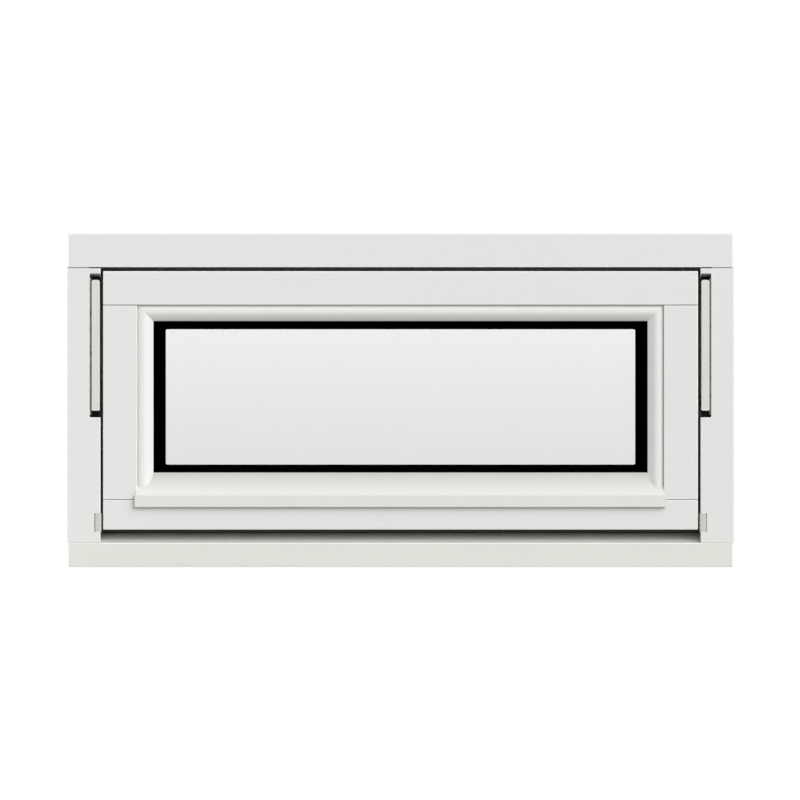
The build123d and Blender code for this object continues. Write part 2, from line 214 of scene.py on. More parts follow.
def seen_directly(wire):
    """1 for camera, glossy and transmission rays, 0 for the rest."""
    path = wire.add("ShaderNodeLightPath", output="Is Camera Ray")
    either = wire.math("MAXIMUM", path, path.pick("Is Glossy Ray"))
    return wire.math("MAXIMUM", either, path.pick("Is Transmission Ray"))


def empty_tree(material):
    """The first wire of a node tree that has been cleared."""
    material.use_nodes = True
    material.node_tree.nodes.clear()
    return Wire(material.node_tree)


world = bpy.data.worlds.new("white_room")
sky = empty_tree(world)
sky_level = room_light + (1 - room_light) * seen_directly(sky)
background = sky.add("ShaderNodeBackground", inputs={"Color": (1, 1, 1, 1), "Strength": sky_level})
sky.add("ShaderNodeOutputWorld", inputs={"Surface": background})
bpy.context.scene.world = world
print("the room lights the window at", room_light, "and looks white")

# %% [markdown]
# ## Floor
# The window stands on a pale floor, which keeps its shadow and fades into the white room further out.
# The light that it throws back up is dimmer and warmer than the floor looks, because the window's
# downward faces are so in the photograph. An endless plane would show a horizon, so the floor is a
# disc, and the fade ends long before its rim.

# %% Lay the floor
floor_pale = 0.72
floor_bounce = 0.5
floor_tone = (1.0, 0.995, 0.94)
floor_radius = 4.0
floor_fade_start = 0.9
floor_fade_end = 2.0
floor_corners = 96


def floor_material():
    material = bpy.data.materials.new("floor")
    wire = empty_tree(material)
    seen = seen_directly(wire)
    grey = floor_bounce + (floor_pale - floor_bounce) * seen
    tones = {channel: grey * tone for channel, tone in enumerate(floor_tone)}
    colour = wire.add("ShaderNodeCombineColor", inputs=tones)
    matt = wire.add("ShaderNodeBsdfDiffuse", inputs={"Color": colour})
    place = wire.add("ShaderNodeTexCoord", output="Object")
    distance = wire.add("ShaderNodeVectorMath", {"operation": "LENGTH"}, {0: place}, "Value")
    fade = wire.add(
        "ShaderNodeMapRange",
        {"interpolation_type": "SMOOTHSTEP"},
        {"Value": distance, "From Min": floor_fade_start, "From Max": floor_fade_end},
    )
    white = wire.add("ShaderNodeEmission", inputs={"Color": (1, 1, 1, 1), "Strength": 1.0})
    mixed = wire.add("ShaderNodeMixShader", inputs={0: fade * seen, 1: matt, 2: white})
    wire.add("ShaderNodeOutputMaterial", inputs={"Surface": mixed})
    return material


bpy.ops.mesh.primitive_circle_add(vertices=floor_corners, radius=floor_radius, fill_type="NGON")
floor = bpy.context.object
floor.name = "floor"
floor.data.transform(Matrix.Translation((0, 0, solid_low.z)))
floor.data.materials.append(floor_material())
floor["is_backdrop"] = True
print("floor radius", floor_radius, "m, at z", round(solid_low.z, 4))

# %% [markdown]
# ## Lamps
# The photograph's bright and dark sides tell where its light is. Faces that look up or right are
# lighter than the front, and faces that look down or left are darker. So the key light comes from in
# front, above and to the right. Its shares along the three axes were worked out from the greys of the
# four glazing beads, and its breadth from the shadow under the drip bead, which fades over 10 mm. Both
# ends of the window are equally bright, so the light falls off nowhere: a sun lamp with a wide disc
# does that. A second one from behind keeps the room side from going dull in other views, and no
# surface mirrors it, or it would glare along the top of the head.
#
# A dark card stands in front of the glass, as photographers place one to keep their white room out of
# a pane: without it, the glass would veil the black edge seal with grey. Only a reflected ray finds it.

# %% Hang the lamps and the card
key_light = {"toward": Vector((0.50, -0.66, 0.56)), "level": 0.765, "breadth": 55}
back_light = {"toward": Vector((-0.50, 0.83, 0.25)), "level": 0.65, "breadth": 50, "mirrored": False}
card_size = (1.3, 0.7)
card_distance = 2.4


def soft_sun(name, toward, level, breadth, mirrored=True):
    """Sun as wide as breadth in degrees. A matt face towards it renders at its colour times level."""
    data = bpy.data.lights.new(name, "SUN")
    data.angle = math.radians(breadth)
    data.energy = level * math.pi
    lamp = bpy.data.objects.new(name, data)
    lamp.rotation_euler = toward.to_track_quat("Z", "Y").to_euler()
    lamp.visible_glossy = mirrored
    bpy.context.scene.collection.objects.link(lamp)
    return data.energy


def dark_card():
    bpy.ops.mesh.primitive_plane_add(size=1)
    card = bpy.context.object
    card.name = "dark_card"
    stand = Matrix.Translation(window_middle + Vector((0, -card_distance, 0)))
    stretch = Matrix.Diagonal((*card_size, 1, 1))
    card.data.transform(stand @ Matrix.Rotation(math.radians(90), 4, "X") @ stretch)
    material = bpy.data.materials.new("card_black")
    wire = empty_tree(material)
    reflected = wire.add("ShaderNodeLightPath", output="Glossy Depth") > 0.5
    black = wire.add("ShaderNodeBsdfDiffuse", inputs={"Color": (0, 0, 0, 1)})
    clear_way = wire.add("ShaderNodeBsdfTransparent")
    mixed = wire.add("ShaderNodeMixShader", inputs={0: reflected, 1: clear_way, 2: black})
    wire.add("ShaderNodeOutputMaterial", inputs={"Surface": mixed})
    card.data.materials.append(material)
    card.visible_camera = False
    card.visible_diffuse = False
    card.visible_shadow = False
    card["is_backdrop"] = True


print("key light", round(soft_sun("key", **key_light), 2), "W per square metre")
print("back light", round(soft_sun("back", **back_light), 2), "W per square metre")
dark_card()

# %% [markdown]
# ## What every finish starts from
# A new material here is a Principled shader with its constants on its own sockets. Only what changes
# over the surface is linked: colour, roughness and the normal. `new_finish` returns the material, the
# tree's first wire and the shader, `connect` links what changes, and `dress` puts the finished
# material on solids by their names.


# %% Helpers for finishes
def new_finish(name, **constants):
    """A material with an empty tree but for a shader and its output."""
    material = bpy.data.materials.new(name)
    material.use_nodes = True
    tree = material.node_tree
    shader = tree.nodes["Principled BSDF"]
    for socket, value in constants.items():
        shader.inputs[socket.replace("_", " ")].default_value = value
    return material, Wire(tree), shader


def connect(wire, shader, **wires):
    """Links wires into the shader's sockets."""
    for socket, value in wires.items():
        wire.feed(shader.inputs[socket.replace("_", " ")], value)


def dress(material, *names):
    """Gives a finish to solids by name."""
    for name in names:
        piece = nodes[name]
        if not piece.material_slots:
            piece.data.materials.append(material)
        piece.material_slots[0].material = material
    print(material.name, "on", len(names), "solids")


def both_sides(name):
    return [name + "_left", name + "_right"]


print("a finish for a pair of pieces goes on", both_sides("hinge_arm"))

# %% [markdown]
# ## Patterns that keep their size
# A pattern is a number that changes over the surface. It's read at the point on the object, in metres,
# so it keeps its real size on every piece and doesn't slide when a piece changes. Grain, brush marks
# and clouds are all one soft noise, stretched differently. A pattern then turns into a colour between
# two others, into a change of roughness, or into relief.


# %% Helpers for patterns
def place_of(wire):
    return wire.add("ShaderNodeTexCoord", output="Object")


def noise(wire, place, size, detail=2.0):
    """Soft noise whose lumps measure size: one number, or one for each axis, in metres."""
    sizes = size if isinstance(size, tuple) else (size,) * 3
    scaled = wire.add("ShaderNodeMapping", inputs={"Vector": place, "Scale": [1 / s for s in sizes]})
    return wire.add("ShaderNodeTexNoise", inputs={"Vector": scaled, "Scale": 1.0, "Detail": detail})


def streaks(wire, place, along, length, width):
    """Noise drawn out along one axis, as grain and brush marks are."""
    size = tuple(length if axis == along else width for axis in "xyz")
    return noise(wire, place, size, detail=3.0)


def swing(pattern, amount):
    """Turns noise into a change both ways about 0."""
    return (pattern - 0.5) * amount


def part_of(wire, vector, axis):
    """A vector's share along X, Y or Z. The wire's pick gives the others."""
    return wire.add("ShaderNodeSeparateXYZ", inputs={0: vector}, output=axis)


def blend(wire, factor, under, over):
    """Lays a colour over another one, as far as factor says."""
    mix = {0: factor, 6: under, 7: (*over, 1)}
    return wire.add("ShaderNodeMix", {"data_type": "RGBA"}, mix, output=2)


def tint(wire, factor, dark, light):
    """Colour between two others."""
    return blend(wire, factor, (*dark, 1), light)


def eased_normal(wire, radius):
    """The surface's normal, rounded over at sharp edges."""
    return wire.add("ShaderNodeBevel", {"samples": 4}, {"Radius": radius})


def bump(wire, height, depth, normal=None):
    """Relief of a real depth in metres, for a height that runs from 0 to 1."""
    sockets = {"Height": height, "Distance": depth, "Strength": 1.0}
    if normal:
        sockets["Normal"] = normal
    return wire.add("ShaderNodeBump", inputs=sockets)


print("patterns run from 0 to 1 and keep their size in metres")

# %% [markdown]
# ## Where paint wears, and where highlights and shade are painted
# Joinery paint is sprayed and rubbed down, and the film is polished at every arris, which leaves
# edges smoother; the arrises are also painted paler, as a painted highlight. Where two pieces meet,
# the paint is darkened as painted shade, which stands for dust there too. Painted shade also lies on
# the beads near the glass, on the front of the sill's slope and on the sill under the sash. A painted
# map could show all this, but it would have to be redone for every change of size. Masks find these
# places by themselves.
#
# Rounding the normal over a small radius turns it away from the axes only near an arris, so on
# square-cut members the largest part of the rounded normal drops below 1 there. Ambient occlusion
# drops where other surfaces come within a few millimetres, which finds the joints.

# %% Find highlit edges and shaded joints
edge_radius = 2.2 * mm
edge_gain = 10.0
shade_and_dust_reach = 5 * mm
shade_and_dust_strength = 0.6


# Painted highlight: this mask makes the paint paler along arrises, and their polish lowers roughness
# there.
def arris_highlight_mask(wire):
    """Near 1 along the arrises of square-cut members, 0 on their faces."""
    rounded = eased_normal(wire, edge_radius)
    unsigned = wire.add("ShaderNodeVectorMath", {"operation": "ABSOLUTE"}, {0: rounded}, "Vector")
    x = part_of(wire, unsigned, "X")
    largest = wire.math("MAXIMUM", wire.math("MAXIMUM", x, x.pick("Y")), x.pick("Z"))
    return wire.math("MINIMUM", (1 - largest) * edge_gain, 1.0)


# Painted shade: this mask darkens paint in joints and crevices, where shade falls; it stands for dust
# there too.
def shade_and_dust_mask(wire):
    """0 in the open, rising where other surfaces come close."""
    open_air = wire.add("ShaderNodeAmbientOcclusion", {"samples": 8}, {"Distance": shade_and_dust_reach}, "AO")
    return wire.math("MINIMUM", (1 - open_air) * shade_and_dust_strength, 1.0)


print("arrises wear within", round(edge_radius / mm, 1), "mm")
print("dust lies within", round(shade_and_dust_reach / mm, 1), "mm of a joint")

# %% [markdown]
# ## Painted shade on the beads and sill, and in the slots
# These are found from the place itself. Painted shade grows from one depth to another: on the
# beads towards the glass, on the sill's slope towards its front, and on its flat foot from the sash
# inwards. Inside the hinge slots the paint is painted near black, as painted shade, fading in just
# behind the front of the jambs. The slots lie at a known distance from the middle.

# %% Find where shade is painted
# Reaches of the painted shade on the sill, and how fast it fades in inside the slots.
slope_shade_reach = 40 * mm
foot_shade_reach = 6 * mm
slot_clearance = 0.4 * mm
slot_start = nearest_x("hinge_arm_right") - slot_clearance
slot_end = furthest_x("hinge_plate_right") + slot_clearance
slot_back = 40 * mm
slot_shade_fade = 1.2 * mm
facing_share = 0.9


def between(value, start, end):
    """1 where a value lies between two others."""
    return (value > start) * (1 - (value > end))


# Painted shade: paint inside the hinge slots turns near black, fading in just behind the front of the
# jambs.
def slot_shade_mask(wire, place):
    """Rises to 1 inside the hinge slots, behind the front of the jambs."""
    x = part_of(wire, place, "X")
    in_slot = between(wire.math("ABSOLUTE", x), slot_start, slot_end)
    depth = wire.math("MAXIMUM", x.pick("Y") - frame_front, 0.0)
    shaded = 1 - wire.math("EXPONENT", depth / -slot_shade_fade)
    return shaded * in_slot * (1 - (depth > slot_back))


def facing(wire, axis):
    """1 where the surface faces along an axis, either way."""
    normal = wire.add("ShaderNodeTexCoord", output="Normal")
    return wire.math("ABSOLUTE", part_of(wire, normal, axis)) > facing_share


def shade_ramp(wire, place, start, end):
    """Grows from 0 at the depth where painted shade starts to 1 at its end."""
    share = wire.math("MAXIMUM", (part_of(wire, place, "Y") - start) / (end - start), 0.0)
    return wire.math("MINIMUM", share * share, 1.0)


def slope_shade_mask(wire, place):
    """Painted shade on the sill's slope that grows towards its front."""
    return shade_ramp(wire, place, frame_front + slope_shade_reach, frame_front) * facing(wire, "Z")


def foot_shade_mask(wire, place):
    """Painted shade under the sash, as far back as the stop and only inside the opening."""
    x = part_of(wire, place, "X")
    outside = wire.math("ABSOLUTE", x) > nearest_x("hinge_arm_right")
    behind = x.pick("Y") > sash_back + foot_shade_reach
    under_sash_share = shade_ramp(wire, place, sash_back - foot_shade_reach, sash_back)
    return under_sash_share * (1 - wire.math("MAXIMUM", outside, behind))


def bead_shade_mask(bead):
    """Painted shade that grows from a bead's foremost line to the glass."""
    return lambda wire, place: shade_ramp(wire, place, low(bead, "y"), high(bead, "y"))


print("slots from", round(slot_start / mm, 1), "to", round(slot_end / mm, 1), "mm off the middle")

# %% [markdown]
# ## White paint on timber
# From across the street the paint is one flat white. Close up the grain still reads through it as
# long shallow ridges, and finer brush lines lie over them. Ends of the head and sill show end grain
# instead. A photo texture would repeat and slide, while streaks of noise along each member follow its
# grain and keep their size. The grain runs along X in rails and along Z in stiles and jambs, so each
# direction gets its own material. The masks then lay painted highlights, painted shade and wear over it.

# %% Mix the paints
white = (0.765, 0.765, 0.762)
bead_white = (0.80, 0.80, 0.793)
warm_white = (0.748, 0.742, 0.706)
# Gain for the paler colour of random tone and of the painted highlight on arrises.
paler_and_highlight_gain = 1.25
# Tones of painted shade: in joints, on the beads and sill slope, under the sash and in the slots.
joint_shade_and_dust = (0.42, 0.42, 0.40)
painted_shade_grey = (0.40, 0.40, 0.38)
under_sash_shade = (0.03, 0.03, 0.026)
slot_shade = (0.035, 0.035, 0.033)
grain_length = 260 * mm
grain_width = 3.5 * mm
grain_depth = 0.05 * mm
grain_shade = 0.08
brush_length = 90 * mm
brush_width = 0.9 * mm
brush_depth = 0.012 * mm
brush_sheen = 0.06
patch_size = 180 * mm
patch_shade = 0.1
patch_sheen = 0.08
end_grain_size = 2.2 * mm
end_grain_depth = 0.06 * mm
paint_roughness = 0.42
rubbed_sheen = 0.06


def paint(name, along, body, square_cut=True, slotted=False, painted_shades=()):
    """Satin paint over timber whose grain runs along one axis, with painted highlight and shade."""
    # Paler colour, used for random tone and for the painted highlight on arrises.
    paler_and_highlit = [value * paler_and_highlight_gain for value in body]
    material, wire, shader = new_finish(name, Specular_IOR_Level=0.4)
    place = place_of(wire)
    grain = streaks(wire, place, along, grain_length, grain_width)
    brush = streaks(wire, place, along, brush_length, brush_width)
    patches = noise(wire, place, patch_size)
    shade = swing(grain, grain_shade) + swing(patches, patch_shade)
    roughness = paint_roughness + swing(patches, patch_sheen) + swing(brush, brush_sheen)
    # Painted highlight: arrises are painted paler, and made smoother for the polished film.
    if square_cut:
        highlit_edges = arris_highlight_mask(wire)
        shade = shade + highlit_edges
        roughness = roughness - highlit_edges * rubbed_sheen
    colour = tint(wire, wire.math("MAXIMUM", shade, 0.0), body, paler_and_highlit)
    # Painted shade from depth ramps: beads near the glass, the sill's slope and the sill under the sash.
    for tone, strength, mask in painted_shades:
        colour = blend(wire, mask(wire, place) * strength, colour, tone)
    # Painted shade in joints and crevices, standing for dust there too.
    colour = blend(wire, shade_and_dust_mask(wire), colour, joint_shade_and_dust)
    # Painted shade inside the hinge slots.
    if slotted:
        colour = blend(wire, slot_shade_mask(wire, place), colour, slot_shade)
    relief = bump(wire, brush, brush_depth, bump(wire, grain, grain_depth))
    if along == "x":
        rings = noise(wire, place, end_grain_size, detail=4.0) * facing(wire, "X")
        relief = bump(wire, rings, end_grain_depth, relief)
    connect(wire, shader, Base_Color=colour, Roughness=roughness, Normal=relief)
    return material


dress(paint("paint_rails", "x", white), "frame_head", "sash_top_rail", "sash_bottom_rail")
dress(paint("paint_jambs", "z", white, slotted=True), *both_sides("frame_jamb"))
dress(paint("paint_stiles", "z", white), *both_sides("sash_stile"))
# Painted shade on the sill's slope and on the sill under the sash.
sill_shades = ((painted_shade_grey, 0.6, slope_shade_mask), (under_sash_shade, 0.9, foot_shade_mask))
dress(paint("paint_sill", "x", warm_white, painted_shades=sill_shades), "frame_sill")
dress(paint("paint_side_beads", "z", bead_white, square_cut=False), *both_sides("bead"))
# Painted shade on the top and bottom beads, darker towards the glass.
for bead, body, strength in (("bead_top", bead_white, 0.9), ("bead_bottom", warm_white, 0.6)):
    painted_shades = ((painted_shade_grey, strength, bead_shade_mask(bead)),)
    dress(paint("paint_" + bead, "x", body, square_cut=False, painted_shades=painted_shades), bead)

# %% [markdown]
# ## Glass
# Two clear sheets of float glass stand 16 mm apart. Clear glass takes a little from what shines
# through it. The panes' colour is also painted darker towards the bottom, as a painted reflection,
# so the white behind them reads almost white at the top and light grey at the sill. Sharp
# reflections come from the index of refraction by itself.

# %% Make the glass
clear = (0.995, 0.995, 0.993)
painted_reflection_grey = (0.925, 0.925, 0.917)


def glass_finish():
    material, wire, shader = new_finish("float_glass", Roughness=0.0, IOR=1.45, Transmission_Weight=1.0)
    # Painted reflection: the colour runs from clear at the top of the sight to light grey at its bottom.
    height = part_of(wire, place_of(wire), "Z")
    rise = (height - sight_bottom) / (sight_top - sight_bottom)
    within_glass = wire.add("ShaderNodeMapRange", inputs={"Value": rise})
    connect(wire, shader, Base_Color=tint(wire, within_glass, painted_reflection_grey, clear))
    return material


dress(glass_finish(), "pane_outer", "pane_inner")

# %% [markdown]
# ## Rubber and sealant
# The edge seal of the glass is the blackest thing in the picture: a matt sealant that gives back next
# to nothing. Glazing rubber and the weather seals are a shade lighter, with the fine bloom that
# extruded rubber has, drawn out along its length.

# %% Mix the blacks
sealant_black = (0.0015, 0.0015, 0.0015)
rubber_black = (0.008, 0.008, 0.008)
rubber_bloom = (0.022, 0.022, 0.021)
seal_grey = (0.035, 0.035, 0.032)
seal_bloom = (0.07, 0.07, 0.065)
bloom_length = 60 * mm
bloom_width = 0.4 * mm
bloom_depth = 0.01 * mm
bloom_cloud = 14 * mm
rubber_roughness = 0.62
bloom_sheen = 0.2


def rubber(name, along, body, bloom, shine):
    """Matt rubber or sealant with a bloom drawn out along one axis."""
    material, wire, shader = new_finish(name, Specular_IOR_Level=shine)
    place = place_of(wire)
    lines = streaks(wire, place, along, bloom_length, bloom_width)
    colour = tint(wire, noise(wire, place, bloom_cloud), body, bloom)
    roughness = rubber_roughness + swing(lines, bloom_sheen)
    relief = bump(wire, lines, bloom_depth)
    connect(wire, shader, Base_Color=colour, Roughness=roughness, Normal=relief)
    return material


edge_black = rubber("edge_seal_black", "x", sealant_black, sealant_black, 0.0)
dress(edge_black, "spacer_top", "spacer_bottom", *both_sides("spacer"))
for along, sides in (("x", ("top", "bottom")), ("z", ("left", "right"))):
    glazing_rubber = rubber("glazing_rubber_" + along, along, rubber_black, rubber_bloom, 0.2)
    weather_seal = rubber("weather_seal_" + along, along, seal_grey, seal_bloom, 0.3)
    for side in sides:
        dress(glazing_rubber, "outer_gasket_" + side, "inner_gasket_" + side)
        dress(weather_seal, "seal_" + side)

# %% [markdown]
# ## Powder coat and zinc
# The hinge arms are powder coated, which leaves the fine pebbled skin that people call orange peel.
# Plates and pins are zinc plated: silver, with cloudy patches where the passivation took unevenly and
# fine lines from rolling. Each is a plain shader that one or two noises disturb, because no more than
# a strip of them shows in the slots.

# %% Mix the hinge finishes
coat_light = (0.72, 0.715, 0.68)
coat_shade = (0.68, 0.675, 0.64)
coat_cloud = 60 * mm
coat_roughness = 0.38
peel_size = 0.7 * mm
peel_depth = 0.02 * mm
peel_sheen = 0.12
soft_edge = 0.6 * mm
zinc_light = (0.66, 0.66, 0.64)
zinc_dull = (0.46, 0.465, 0.47)
zinc_warm = (0.62, 0.59, 0.50)
zinc_cloud = 9 * mm
cloud_sheen = 0.25
warm_patch = 22 * mm
warm_gain = 1.2
zinc_roughness = 0.3
rolled_length = 30 * mm
rolled_width = 0.3 * mm
rolled_depth = 0.006 * mm
rolled_sheen = 0.12
crisp_edge = 0.3 * mm


def powder_coat():
    material, wire, shader = new_finish("powder_coat", Specular_IOR_Level=0.45)
    place = place_of(wire)
    peel = noise(wire, place, peel_size, detail=1.0)
    colour = tint(wire, noise(wire, place, coat_cloud), coat_shade, coat_light)
    roughness = coat_roughness + swing(peel, peel_sheen)
    relief = bump(wire, peel, peel_depth, eased_normal(wire, soft_edge))
    connect(wire, shader, Base_Color=colour, Roughness=roughness, Normal=relief)
    return material


def zinc_plate():
    material, wire, shader = new_finish("zinc_plate", Metallic=1.0)
    place = place_of(wire)
    clouds = noise(wire, place, zinc_cloud, detail=4.0)
    rolled = streaks(wire, place, "z", rolled_length, rolled_width)
    warmth = wire.math("MAXIMUM", swing(noise(wire, place, warm_patch), warm_gain), 0.0)
    colour = blend(wire, warmth, tint(wire, clouds, zinc_dull, zinc_light), zinc_warm)
    roughness = zinc_roughness + swing(clouds, cloud_sheen) + swing(rolled, rolled_sheen)
    relief = bump(wire, rolled, rolled_depth, eased_normal(wire, crisp_edge))
    connect(wire, shader, Base_Color=colour, Roughness=roughness, Normal=relief)
    return material


zinc = zinc_plate()
dress(powder_coat(), *both_sides("hinge_arm"))
dress(zinc, *both_sides("hinge_plate"), *both_sides("hinge_sash_plate"))
dress(zinc, *both_sides("frame_pivot"), *both_sides("sash_pivot"))

# %% [markdown]
# ## Plastic and anodised metal
# The closing blocks are moulded plastic with the even grain of a spark-eroded mould. The lever is
# satin anodised and brushed along its length, so its roughness and relief follow long fine lines.

# %% Mix the plastic and the lever's metal
plastic_light = (0.62, 0.62, 0.58)
plastic_shade = (0.56, 0.56, 0.52)
plastic_cloud = 12 * mm
plastic_roughness = 0.5
spark_size = 0.25 * mm
spark_depth = 0.012 * mm
spark_sheen = 0.15
anodised_light = (0.80, 0.80, 0.79)
anodised_shade = (0.70, 0.70, 0.695)
anodised_cloud = 40 * mm
anodised_roughness = 0.32
satin_length = 25 * mm
satin_width = 0.18 * mm
satin_depth = 0.004 * mm
satin_sheen = 0.16


def moulded_plastic():
    material, wire, shader = new_finish("moulded_plastic", Specular_IOR_Level=0.4)
    place = place_of(wire)
    spark = noise(wire, place, spark_size, detail=1.0)
    colour = tint(wire, noise(wire, place, plastic_cloud), plastic_shade, plastic_light)
    roughness = plastic_roughness + swing(spark, spark_sheen)
    relief = bump(wire, spark, spark_depth, eased_normal(wire, soft_edge))
    connect(wire, shader, Base_Color=colour, Roughness=roughness, Normal=relief)
    return material


def anodised():
    material, wire, shader = new_finish("anodised_aluminium", Metallic=1.0)
    place = place_of(wire)
    satin = streaks(wire, place, "x", satin_length, satin_width)
    colour = tint(wire, noise(wire, place, anodised_cloud), anodised_shade, anodised_light)
    roughness = anodised_roughness + swing(satin, satin_sheen)
    connect(wire, shader, Base_Color=colour, Roughness=roughness, Normal=bump(wire, satin, satin_depth))
    return material


lever_metal = anodised()
dress(moulded_plastic(), *both_sides("closing_block"))
dress(lever_metal, "handle_rose", "handle_grip")

# %% [markdown]
# ## Geometry Nodes as a small workshop
# Screws, turned rings, rubber lips and perforations repeat or follow a path, which is what Geometry
# Nodes are for. Each tree below has named inputs for its sizes. `run_tree` puts one on an object, sets
# the inputs by their identifiers, turns the result into a plain mesh and takes the modifier away, so
# what is left is ordinary geometry at its place.


# %% Helpers for geometry trees
def new_tree(name, sizes):
    """Geometry tree with one input for each named size, and its input wires by name."""
    tree = bpy.data.node_groups.new(name, "GeometryNodeTree")
    tree.interface.new_socket("Geometry", in_out="OUTPUT", socket_type="NodeSocketGeometry")
    for size, kind in sizes.items():
        tree.interface.new_socket(size, in_out="INPUT", socket_type="NodeSocket" + kind)
    start = tree.nodes.new("NodeGroupInput")
    wire = Wire(tree)
    return wire, {size: Wire(tree, start.outputs[size]) for size in sizes}


def close_tree(wire, geometry, material):
    """Ends a tree in real meshes with their finish."""
    real = wire.add("GeometryNodeRealizeInstances", inputs={"Geometry": geometry})
    dressed = wire.add("GeometryNodeSetMaterial", inputs={"Geometry": real, "Material": material})
    wire.add("NodeGroupOutput", inputs={"Geometry": dressed})
    return wire.tree


def run_tree(name, tree, values):
    """Makes a plain mesh object from a tree, and lets it ride with the window."""
    holder = bpy.data.objects.new(name, bpy.data.meshes.new(name + "_start"))
    bpy.context.scene.collection.objects.link(holder)
    modifier = holder.modifiers.new("shape", "NODES")
    modifier.node_group = tree
    for item in tree.interface.items_tree:
        if item.in_out == "INPUT" and item.name in values:
            modifier[item.identifier] = values[item.name]
    evaluated = holder.evaluated_get(bpy.context.evaluated_depsgraph_get())
    mesh = bpy.data.meshes.new_from_object(evaluated)
    mesh.name = name
    holder.modifiers.remove(modifier)
    holder.data = mesh
    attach(holder, "root")
    print(name, "-", len(mesh.polygons), "faces")


# %% [markdown]
# ## Screws with a cross recess
# A countersunk screw shows only the top of its head: a disc with a slight dome and a cross cut into
# it. The head starts as a cylinder with rings in its cap, so that the dome can be a formula on the
# distance from its axis. Two crossed boxes are taken away for the recess. A line of points then
# carries one copy each. One tree makes every row of screws in the window.

# %% Build the screw tree
screw_radius = 3.4 * mm
screw_dome = 0.5 * mm
screw_depth = 0.9 * mm
screw_proud = 0.05 * mm
screw_corners = 28
screw_cap_rings = 5
recess_length = screw_radius * 1.15
recess_width = 0.9 * mm
recess_depth = 1.1 * mm


def screw_tree():
    sizes = {"Count": "Int", "Start": "Vector", "Step": "Vector", "Turn": "Rotation", "Radius": "Float"}
    wire, given = new_tree("screw_row", sizes)
    radius = given["Radius"]
    drum = {"Vertices": screw_corners, "Fill Segments": screw_cap_rings}
    drum |= {"Radius": radius, "Depth": screw_depth}
    blank = wire.add("GeometryNodeMeshCylinder", inputs=drum)
    x = part_of(wire, wire.add("GeometryNodeInputPosition"), "X")
    y = x.pick("Y")
    across = (x * x + y * y) / (radius * radius)
    lift = (1 - across) * screw_dome * (x.pick("Z") > 0)
    offset = wire.add("ShaderNodeCombineXYZ", inputs={"Z": lift})
    domed = wire.add("GeometryNodeSetPosition", inputs={"Geometry": blank, "Offset": offset})
    cuts = []
    for length_axis in range(2):
        box_size = [recess_width, recess_width, recess_depth]
        box_size[length_axis] = recess_length
        cut = wire.add("GeometryNodeMeshCube", inputs={"Size": box_size})
        raised = {"Geometry": cut, "Translation": (0, 0, screw_depth / 2 + screw_dome)}
        cuts.append(wire.add("GeometryNodeTransform", inputs=raised))
    operands = {"Mesh 1": domed, "Mesh 2": cuts}
    head = wire.add("GeometryNodeMeshBoolean", {"operation": "DIFFERENCE"}, operands)
    line = {"Count": given["Count"], "Start Location": given["Start"], "Offset": given["Step"]}
    row = wire.add("GeometryNodeMeshLine", inputs=line)
    placed = {"Points": row, "Instance": head, "Rotation": given["Turn"]}
    return close_tree(wire, wire.add("GeometryNodeInstanceOnPoints", inputs=placed), zinc)


screws = screw_tree()
print("screw tree has", len(screws.nodes), "nodes")

# %% [markdown]
# ## Where the screws go
# A fixing plate is screwed down behind its arm, where the strip beside it stays clear. The plate on
# the sash has its screws above and below the pin. The lever's rose has one near each end. A row is
# said by its first and its last place, how many screws it has and the way their heads face.


# %% Set the rows of screws
def heads_facing(direction):
    """Rotation that turns a head from +Z to a direction."""
    return Vector(direction).to_track_quat("Z", "Y").to_euler()


def screw_row(name, first, last, count, facing, slot="zinc_steel"):
    """A row of screws between two places, sunk so that only the dome stands proud."""
    values = {
        "Count": count,
        "Start": Vector(first) - Vector(facing) * (screw_depth / 2 - screw_proud),
        "Step": (Vector(last) - Vector(first)) / (count - 1),
        "Turn": heads_facing(facing),
        "Radius": screw_radius,
    }
    run_tree(name, screws, values)


def inset_ends(node, axis, inset):
    """Two places on a solid, a little in from its ends along an axis."""
    return low(node, axis) + inset, high(node, axis) - inset


plate_screw_behind_arm = 4.0 * mm
plate_screw_inset = 16 * mm
sash_screw_inset = 14 * mm
rose_screw_inset = 13 * mm
for side, sign in (("left", -1), ("right", 1)):
    plate = "hinge_plate_" + side
    behind_arm = high("hinge_arm_" + side, "y") + plate_screw_behind_arm
    heights = inset_ends(plate, "z", plate_screw_inset)
    ends = [(sign * nearest_x(plate), behind_arm, z) for z in heights]
    screw_row("plate_screws_" + side, *ends, 4, (-sign, 0, 0))
    leaf = "hinge_sash_plate_" + side
    heights = inset_ends(leaf, "z", sash_screw_inset)
    ends = [(sign * furthest_x(leaf), middle(leaf, "y"), z) for z in heights]
    screw_row("sash_screws_" + side, *ends, 2, (sign, 0, 0))

rose_middle = middle("handle_rose", "z")
rose_face = high("handle_rose", "y")
rose_ends = [(x, rose_face, rose_middle) for x in inset_ends("handle_rose", "x", rose_screw_inset)]
screw_row("rose_screws", *rose_ends, 2, (0, 1, 0), "handle_metal")

# %% [markdown]
# ## Turned rings
# The hinges' sash pins wear a black nylon sleeve where they cross the gap beside the sash, the frame
# pins end in a flat nylon cap, and the lever turns in a collar. All of these are turned on a lathe:
# one small profile carried round a circle. So the tree draws a circle and sweeps a rounded rectangle
# along it.

# %% Build the ring tree
ring_corners = 48
ring_ease = 0.35 * mm
sleeve_radius = 6.4 * mm
sleeve_hole = 4.1 * mm
pin_cap_hole = 0.2 * mm
pin_cap_rise = 1.2 * mm
nylon_black = (0.012, 0.012, 0.012)
nylon_worn = (0.03, 0.03, 0.03)
collar_radius = 12.5 * mm
collar_hole = 6.2 * mm
collar_rise = 2.4 * mm


